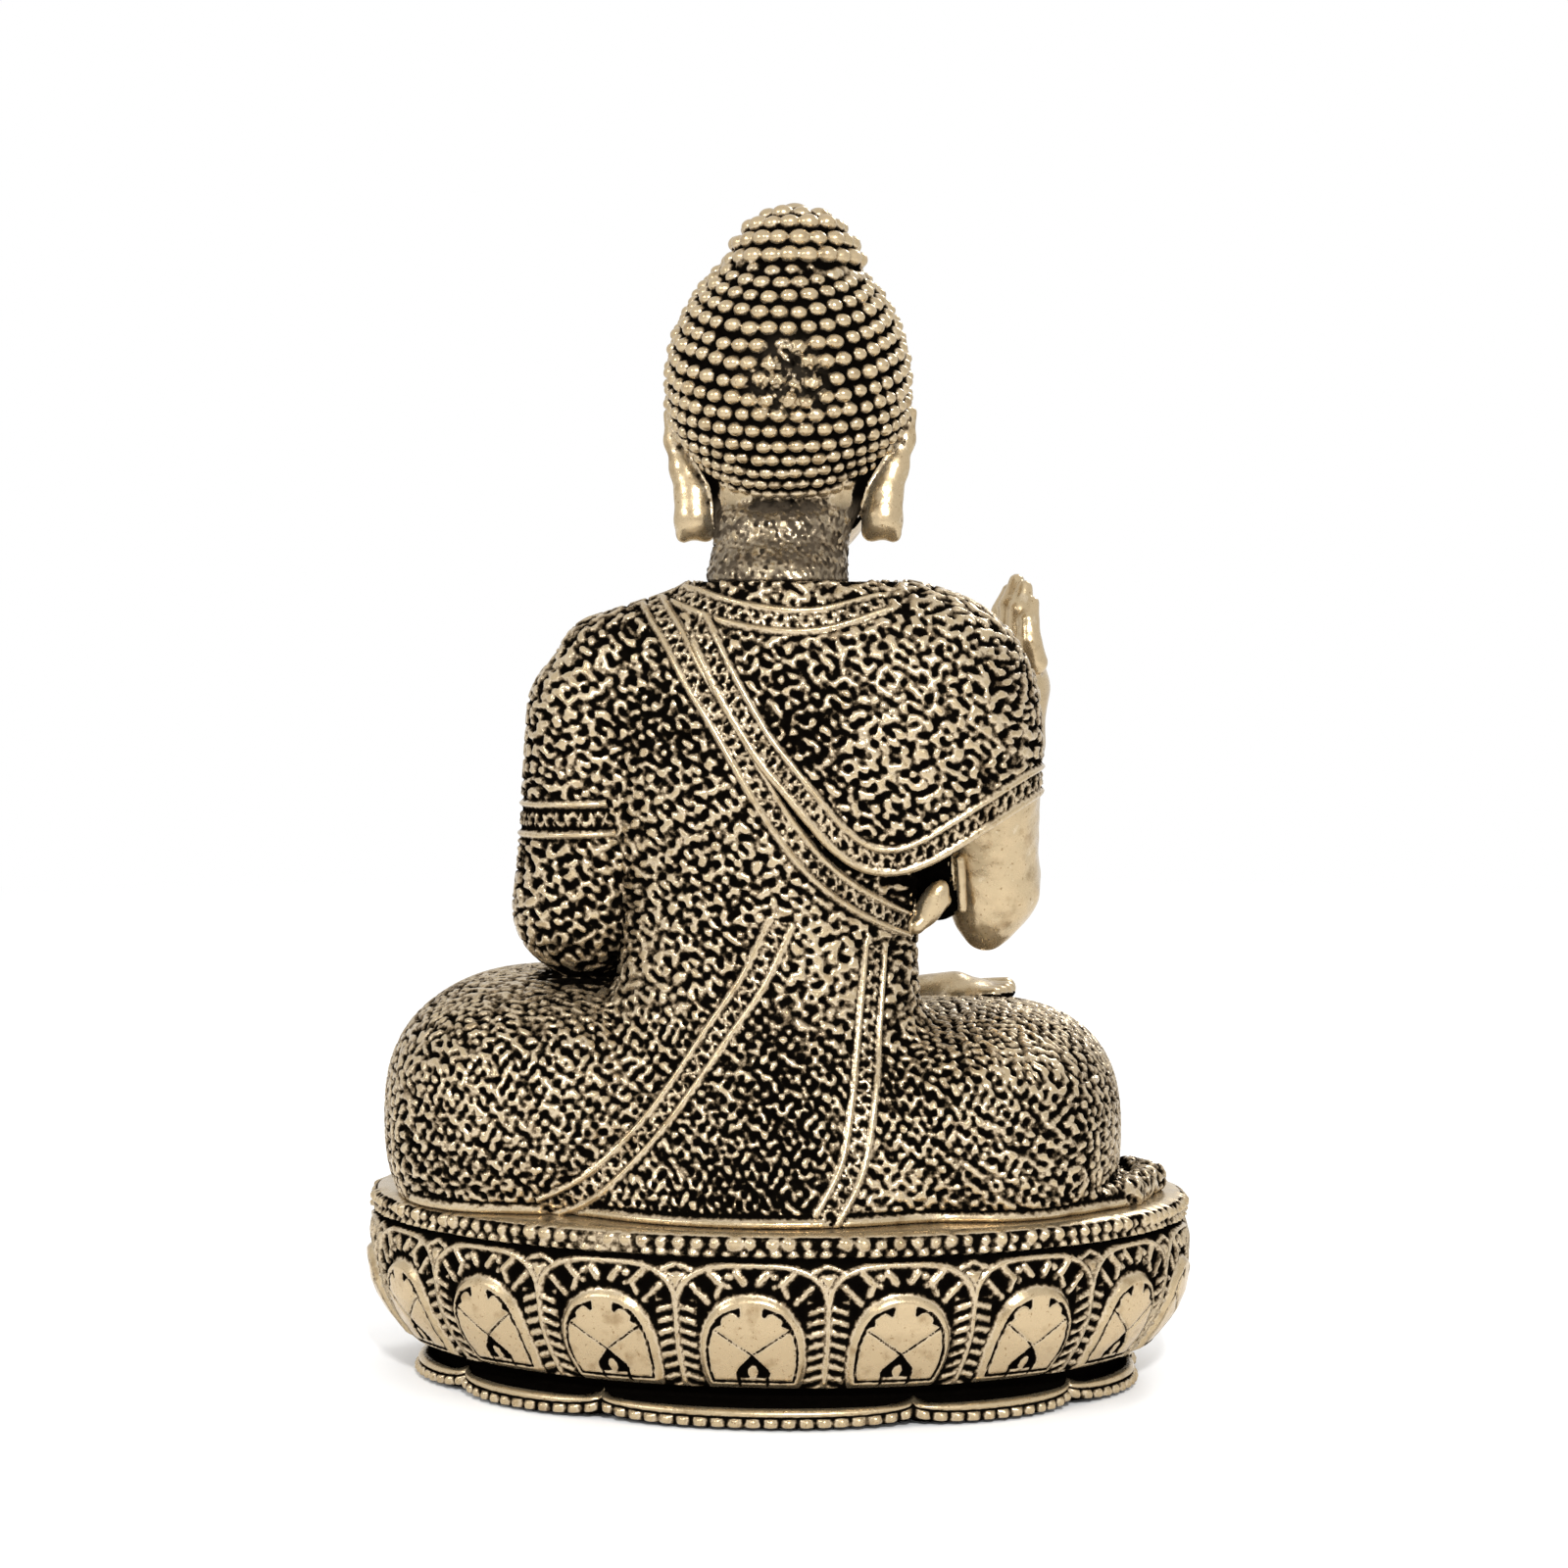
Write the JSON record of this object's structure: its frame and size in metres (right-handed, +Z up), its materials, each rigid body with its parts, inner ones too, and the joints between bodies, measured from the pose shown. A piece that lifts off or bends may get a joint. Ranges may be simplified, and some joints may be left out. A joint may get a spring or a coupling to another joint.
{
  "type": "seated buddha statue",
  "caption": "Small cast-metal seated figure, one hand raised, with bead-curl hair and a relief-covered robe, on an oval double-rimmed lotus pedestal; rests on a felt pad.",
  "frame": {"origin": "centre of the felt pad's underside, the face the statue rests on", "axes": "+Z up, the figure faces -Y, and its left side is +X"},
  "size_m": [0.106, 0.0688, 0.1486],
  "materials": {
    "antiqued_metal": "pale champagne metal, polished high spots over a black patina",
    "steel": "plain zinc-plated",
    "cover_plate": "plain sheet",
    "felt": "black wool felt"
  },
  "bodies": {
    "root": {"lotus_pedestal": "antiqued_metal", "robed_body": "antiqued_metal", "head": "antiqued_metal", "right_forearm": "antiqued_metal", "left_hand": "antiqued_metal", "neck_dowel": "steel", "forearm_dowel": "steel", "left_hand_dowel": "steel", "locating_pins": "steel", "body_screws": "steel", "body_screw_washers": "steel", "cover_screws": "steel", "base_cover": "cover_plate", "felt_pad": "felt"}
  },
  "joints": []
}
